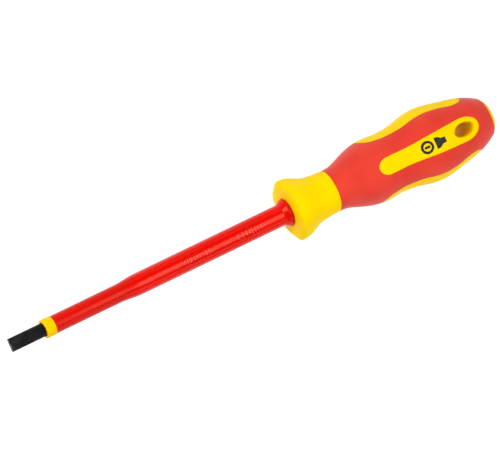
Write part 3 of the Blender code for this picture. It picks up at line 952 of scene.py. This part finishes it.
def make_grip(material):
    """The soft red shell, its edges rolled over at the windows, the neck and the rear mouth."""
    shape = Shape()
    first, last = GRIP_FRONT + GRIP_FRONT_EDGE, GRIP_END - GRIP_REAR_EDGE
    loops, kept_off = [], []
    for degrees, window, _, lip in WINDOWS:
        wrapped = on_surface(window_loop(window), grip_radius)
        middle = unrolled_angle(degrees)
        inner_edge, _ = loop_on_grip(shape, wrapped, 0.0, middle, grip_inner_radius)
        rings = [inner_edge]
        for step in range(LIP_STEPS + 1):
            turn = math.radians(90) * step / LIP_STEPS
            margin, drop = lip * (1 - math.cos(turn)), lip * (1 - math.sin(turn))
            rings.append(loop_on_grip(shape, wrapped, margin, middle, grip_radius, drop)[0])
        outer, places = loop_on_grip(shape, wrapped, APRON, middle, grip_radius)
        rings.append(outer)
        for a, b in zip(rings, rings[1:]):
            shape.bridge(a, b)
        under, _ = loop_on_grip(shape, wrapped, APRON, middle, grip_inner_radius)
        shape.bridge(inner_edge, under)
        loops.append((outer, under, places))
        kept_off.append((places, False))

    grid = grid_places(first, last, kept_off)
    over = shape.add([at(x, grip_radius(x), angle) for x, angle in grid])
    under = shape.add([at(x, grip_inner_radius(x), angle) for x, angle in grid])
    places = list(map(tuple, grid * [1, UNROLL_RADIUS]))
    numbered = []
    for outer_ids, under_ids, loop_places in loops:
        numbered.append(list(range(len(places), len(places) + len(outer_ids))))
        over += outer_ids
        under += under_ids
        places += list(map(tuple, loop_places))

    def dropped(middles):
        return np.any([inside(middles, loop_places) for _, _, loop_places in loops], axis=0)

    for face in triangles(places, numbered, dropped):
        shape.faces.append(tuple(over[i] for i in face))
        shape.faces.append(tuple(under[i] for i in face[::-1]))
    grip_ends(shape, first, last)
    shape.finish("soft_grip", material, ["grip_overmould"], 50)


def pad_point(station, offset, lift):
    """A point a lift above the upper pad, from its station and its offset to the side."""
    radius = pad_radius(station)
    return (TIP_X + station, offset, AXIS_Z + math.sqrt(radius**2 - offset**2) + lift)


def printed(shape, rows, closed):
    """A thin layer of ink over rows of (station, offset) points on the upper pad."""
    top = [shape.add([pad_point(x, y, INK_RISE) for x, y in row]) for row in rows]
    foot = [shape.add([pad_point(x, y, -INK_FOOT) for x, y in row]) for row in rows]
    for a, b in zip(top, top[1:]):
        shape.bridge(a, b, closed)
    for a, b in zip(foot, foot[1:]):
        shape.bridge(b, a, closed)
    shape.bridge(foot[0], top[0], closed)
    shape.bridge(top[-1], foot[-1], closed)
    if not closed:
        for end in (0, -1):
            shape.bridge([row[end] for row in top], [row[end] for row in foot], False)


def make_printed_symbol(material):
    """A plain pictogram: the ring and the slot of a slotted screw head, beside a flat tip."""
    shape = Shape()
    turns = [2 * math.pi * i / 72 for i in range(72)]
    head = []
    for radius in between(*HEAD_RADII, 3):
        head.append([(HEAD_STATION + radius * math.cos(a), radius * math.sin(a)) for a in turns])
    printed(shape, head, closed=True)
    slot = []
    for offset in between(-SLOT_WIDTH / 2, SLOT_WIDTH / 2, 4):
        stations = between(HEAD_STATION - SLOT_LENGTH / 2, HEAD_STATION + SLOT_LENGTH / 2, 8)
        slot.append([(station, offset) for station in stations])
    printed(shape, slot, closed=False)
    tip = []
    for share in between(-1, 1, 13):
        tip.append([(station, share * half) for station, half in FLAT_TIP_OUTLINE])
    printed(shape, tip, closed=False)
    shape.finish("printed_symbol", material)


# ---------------------------------------------------------------- camera, light, floor

TILT = math.radians(20)  # of the tool's tip towards the camera
ROLL = math.radians(4.6)  # of the upper window away from the camera's axis
LEAN = math.radians(25.75)  # of the tool above the picture's horizontal
VIEW_DISTANCE = 8.0
VIEW_WIDTH = 0.2299  # of what the picture takes in, at the tool
AIM_STATION = 0.13073  # of the picture's middle
AIM_ABOVE = 0.00205  # and how far it lies above the tool's axis in the view

to_camera = Vector((-math.sin(TILT), math.cos(TILT) * math.sin(ROLL), math.cos(TILT) * math.cos(ROLL)))
tool_in_view = (Vector((1, 0, 0)) - to_camera * to_camera.x).normalized()
above_in_view = to_camera.cross(tool_in_view)


def make_camera():
    """A long lens, far off along the view's direction, so that the view is almost parallel."""
    data = bpy.data.cameras.new("camera")
    camera = bpy.data.objects.new("camera", data)
    bpy.context.scene.collection.objects.link(camera)
    right = math.cos(LEAN) * tool_in_view - math.sin(LEAN) * above_in_view
    up = math.sin(LEAN) * tool_in_view + math.cos(LEAN) * above_in_view
    aim = at(AIM_STATION, 0.0, 0.0) + AIM_ABOVE * above_in_view
    place = aim + VIEW_DISTANCE * to_camera
    turn = Matrix((right, up, to_camera)).transposed().to_4x4()
    camera.matrix_world = Matrix.Translation(place) @ turn
    data.lens = data.sensor_width * VIEW_DISTANCE / VIEW_WIDTH
    data.clip_start = 0.1
    data.clip_end = 50
    bpy.context.scene.camera = camera


def area_light(name, direction, distance, size, power, glossy=True):
    """A soft box that faces the middle of the tool from a direction. Unless glossy, no gloss reflects it."""
    data = bpy.data.lights.new(name, "AREA")
    data.shape = "RECTANGLE"
    data.size, data.size_y = size
    data.energy = power
    light = bpy.data.objects.new(name, data)
    bpy.context.scene.collection.objects.link(light)
    towards = Vector(direction).normalized()
    light.location = at(HANDLE_END / 2, 0.0, 0.0) + distance * towards
    light.rotation_mode = "QUATERNION"
    light.rotation_quaternion = (-towards).to_track_quat("-Z", "Y")
    light.visible_camera = False
    light.visible_glossy = glossy


def make_floor():
    """A plain pale floor just under the tool, lit from within so that it comes out as an even white."""
    mesh = bpy.data.meshes.new("floor")
    reach = 12.0
    below = cad_bounds[0][2] - 0.0002
    corners = [(x * reach, y * reach, below) for x, y in ((-1, -1), (1, -1), (1, 1), (-1, 1))]
    mesh.from_pydata(corners, [], [(0, 1, 2, 3)])
    floor = bpy.data.objects.new("floor", mesh)
    bpy.context.scene.collection.objects.link(floor)
    n = Nodes("pale_floor")
    n.base_colour(n.mixed(n.noise(3), (0.30, 0.30, 0.30), (0.33, 0.33, 0.33)))
    n.set(Roughness=0.9, Emission_Color=(1, 1, 1, 1), Emission_Strength=0.80)
    mesh.materials.append(n.material)


def make_light():
    """A faint even world and five soft boxes."""
    world = bpy.data.worlds.new("studio")
    world.use_nodes = True
    background = world.node_tree.nodes["Background"]
    background.inputs["Color"].default_value = (1, 1, 1, 1)
    background.inputs["Strength"].default_value = 0.06
    bpy.context.scene.world = world
    area_light("top_box", (0.40, -0.16, 0.90), 0.95, (0.60, 0.70), 6.3)
    area_light("fill_box", (-0.42, 0.10, 0.90), 0.95, (0.50, 0.50), 1.5, glossy=False)
    area_light("near_box", (-0.05, -0.92, 0.40), 0.9, (0.80, 0.40), 1.7)
    area_light("far_box", (0.10, 0.92, 0.40), 0.9, (0.80, 0.40), 0.7)
    area_light("front_box", (-0.58, 0.50, 0.64), 0.9, (0.45, 0.45), 5.0)
    bpy.context.scene.view_settings.view_transform = "Standard"


# ---------------------------------------------------------------- the scene

make_camera()
make_blade(black_oxide())
make_inner_sleeve(yellow_insulation())
make_outer_sleeve(red_insulation("red_insulation", specular=0.25))
make_raised_marks(red_insulation("red_rubbed_marks", specular=0.7))
make_handle_body(yellow_plastic())
make_grip(red_soft_grip())
make_printed_symbol(printed_ink())
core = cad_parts["tang_core"]
core.data.materials.clear()
core.data.materials.append(hidden_core())
make_floor()
make_light()
